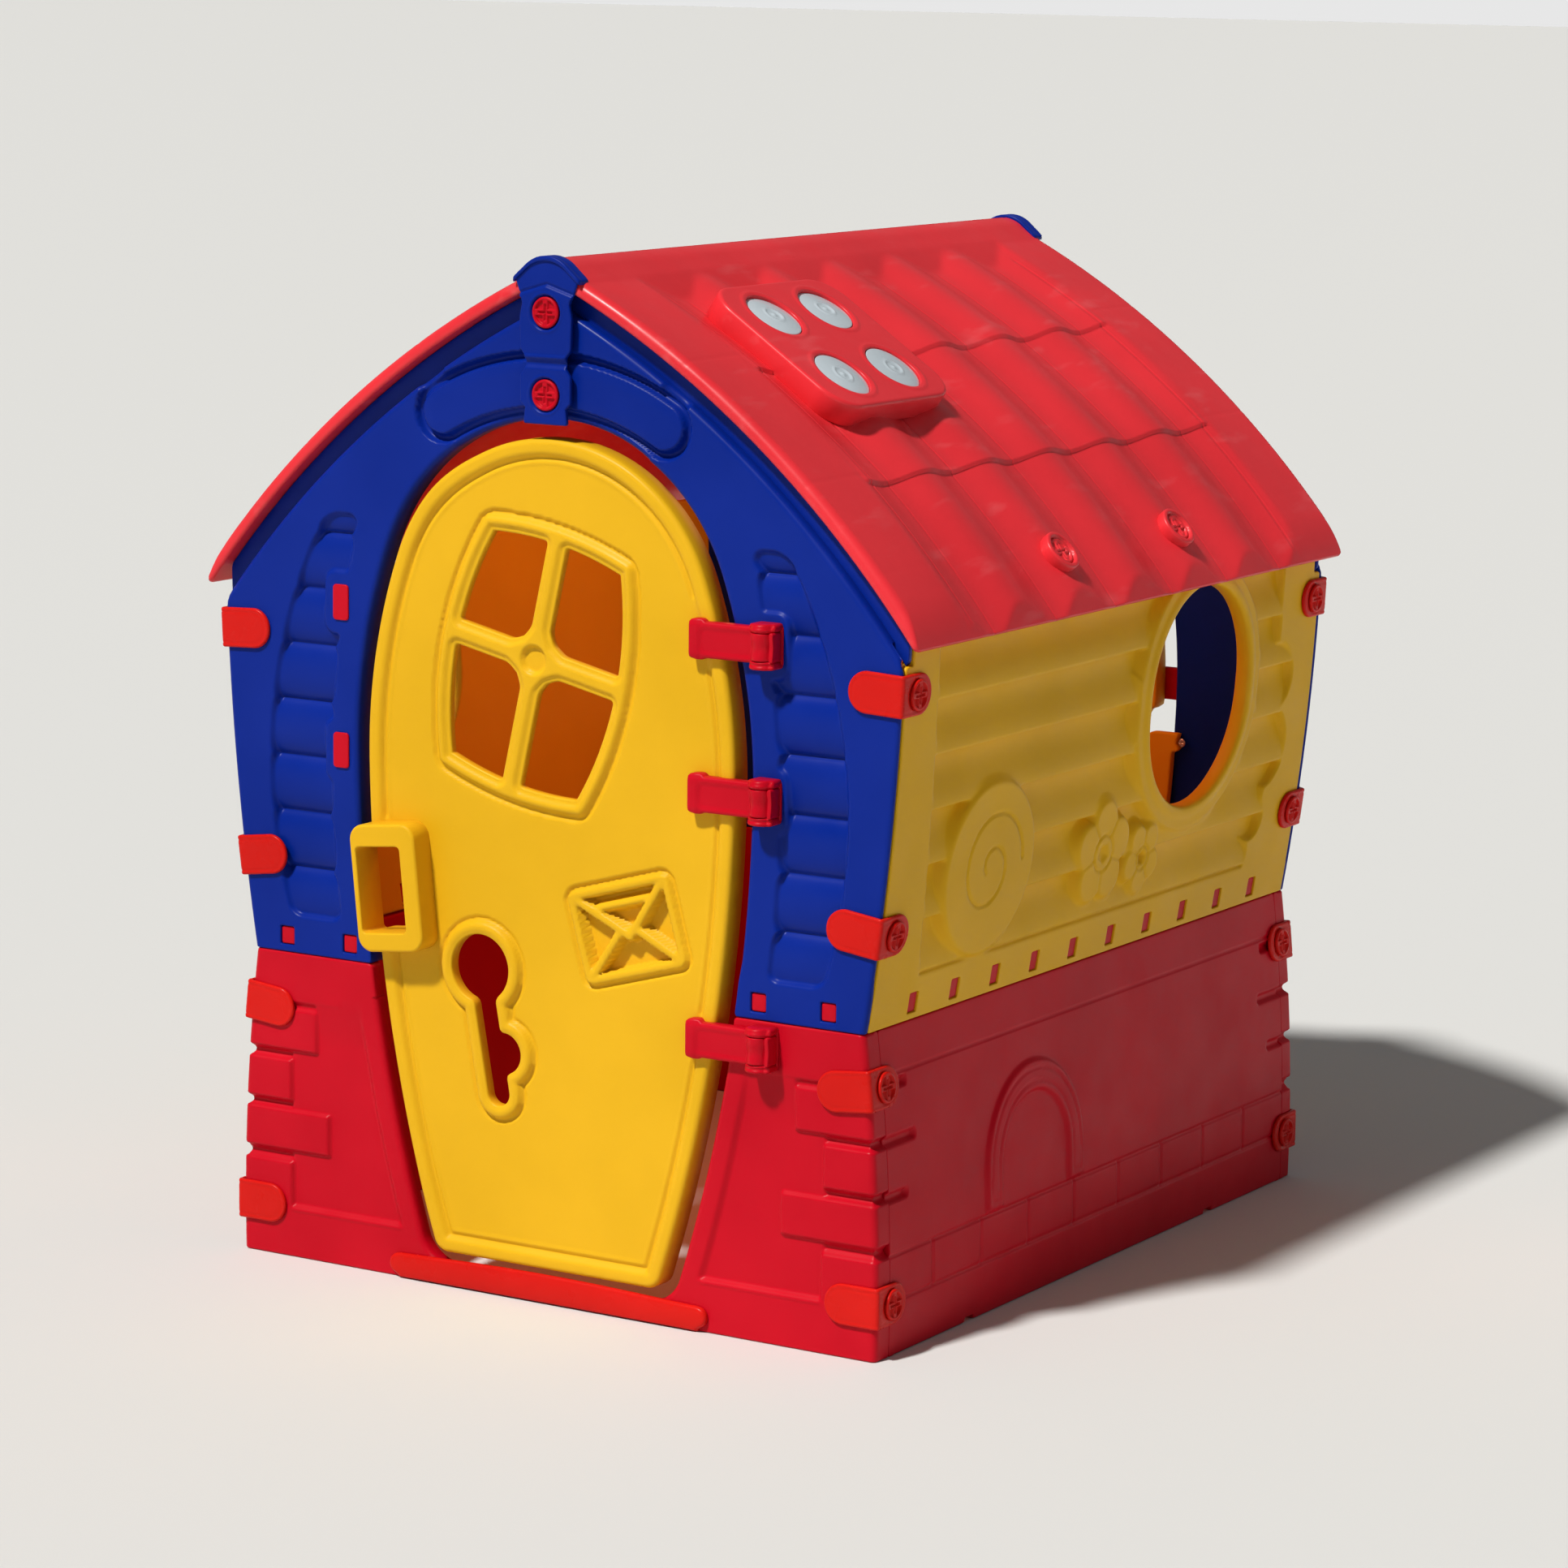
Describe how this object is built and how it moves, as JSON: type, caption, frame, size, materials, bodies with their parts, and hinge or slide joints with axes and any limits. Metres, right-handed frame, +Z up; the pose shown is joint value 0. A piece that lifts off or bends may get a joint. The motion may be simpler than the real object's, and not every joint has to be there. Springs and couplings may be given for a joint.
{
  "type": "plastic playhouse",
  "caption": "Free-standing child's playhouse of bolted moulded panels, with a barrel roof and skylight, a hinged front door and a rear half panel under shutters.",
  "frame": {"origin": "centre of the footprint, on the ground", "axes": "+Z up, the front door on the -Y face, hinges of the front door at +X"},
  "size_m": [0.8872, 0.998, 1.099],
  "materials": {
    "red_plastic": "satin moulded polyethylene",
    "roof_red_plastic": "satin moulded polyethylene",
    "orange_red_plastic": "gloss moulded plastic",
    "blue_plastic": "satin moulded polyethylene",
    "yellow_plastic": "satin moulded polyethylene",
    "clear_plastic": "clear moulded plastic",
    "screw_steel": "plated"
  },
  "bodies": {
    "house": {"gable_front_right": "blue_plastic", "gable_front_left": "blue_plastic", "gable_rear_right": "blue_plastic", "gable_rear_left": "blue_plastic", "base_front_right": "red_plastic", "base_front_left": "red_plastic", "base_rear_right": "red_plastic", "base_rear_left": "red_plastic", "wall_right": "yellow_plastic", "wall_left": "yellow_plastic", "base_right": "red_plastic", "base_left": "red_plastic", "roof_right": "roof_red_plastic", "roof_left": "roof_red_plastic", "lenses_right": "clear_plastic", "lenses_left": "clear_plastic", "ridge_strap_front": "blue_plastic", "ridge_strap_rear": "blue_plastic", "strap_screws": "red_plastic", "threshold_front": "orange_red_plastic", "threshold_rear": "orange_red_plastic", "roof_screws": "red_plastic", "corner_straps_fr": "orange_red_plastic", "corner_straps_fl": "orange_red_plastic", "corner_straps_rr": "orange_red_plastic", "corner_straps_rl": "orange_red_plastic", "corner_screws_fr": "orange_red_plastic", "corner_screws_fl": "orange_red_plastic", "corner_screws_rr": "orange_red_plastic", "corner_screws_rl": "orange_red_plastic", "socket_plugs": "red_plastic", "door_bracket_top": "red_plastic", "door_bracket_mid": "red_plastic", "door_bracket_low": "red_plastic", "rear_panel": "yellow_plastic", "rear_panel_screws": "screw_steel", "shutter_bracket_rt": "red_plastic", "shutter_bracket_rm": "red_plastic", "shutter_bracket_lt": "red_plastic", "shutter_bracket_lm": "red_plastic"},
    "door": {"door_front": "yellow_plastic", "door_leaf_top": "red_plastic", "door_leaf_mid": "red_plastic", "door_leaf_low": "red_plastic"},
    "shutter_r": {"shutter_right": "yellow_plastic", "shutter_leaf_rt": "red_plastic", "shutter_leaf_rm": "red_plastic"},
    "shutter_l": {"shutter_left": "yellow_plastic", "shutter_leaf_lt": "red_plastic", "shutter_leaf_lm": "red_plastic"}
  },
  "joints": [
    {"name": "door_hinge", "type": "hinge", "parent": "house", "child": "door", "pos_m": [0.266, -0.487, 0], "axis": [0, 0, 1], "range_deg": [0, 105]},
    {"name": "shutter_right_hinge", "type": "hinge", "parent": "house", "child": "shutter_r", "pos_m": [0.266, 0.487, 0], "axis": [0, 0, -1], "range_deg": [0, 105]},
    {"name": "shutter_left_hinge", "type": "hinge", "parent": "house", "child": "shutter_l", "pos_m": [-0.266, 0.487, 0], "axis": [0, 0, 1], "range_deg": [0, 105]}
  ]
}
